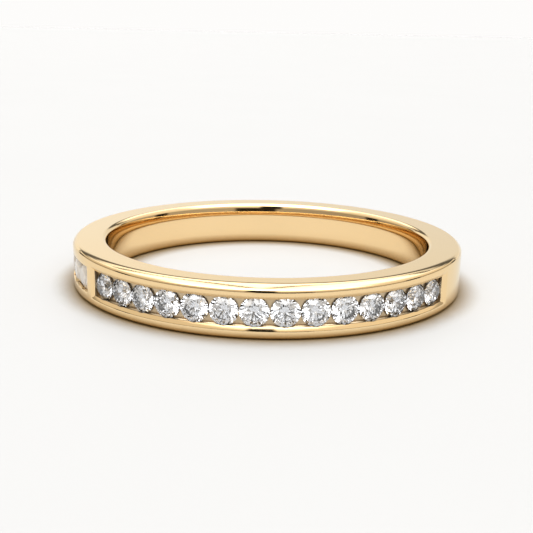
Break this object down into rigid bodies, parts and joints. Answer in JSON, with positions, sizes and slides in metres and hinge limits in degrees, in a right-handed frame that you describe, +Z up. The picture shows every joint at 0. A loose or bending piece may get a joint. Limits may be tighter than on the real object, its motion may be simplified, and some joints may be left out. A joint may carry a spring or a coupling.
{
  "type": "channel set band",
  "caption": "Polished yellow gold finger ring with a channel of round cut stones across its front and a short side channel.",
  "frame": {"origin": "middle of the finger hole, on the side face that the band rests on", "axes": "+Z up, along the finger; the middle of the main row of stones faces -Y; the short side channel is on the -X side"},
  "size_m": [0.0212, 0.0212, 0.0025],
  "materials": {
    "gold": "polished yellow gold",
    "stone": "polished colourless brilliant cut"
  },
  "bodies": {
    "root": {"band": "gold", "stone_1": "stone", "stone_2": "stone", "stone_3": "stone", "stone_4": "stone", "stone_5": "stone", "stone_6": "stone", "stone_7": "stone", "stone_8": "stone", "stone_9": "stone", "stone_10": "stone", "stone_11": "stone", "stone_12": "stone", "stone_13": "stone", "stone_14": "stone", "side_stone_1": "stone", "side_stone_2": "stone", "side_stone_3": "stone"}
  },
  "joints": []
}
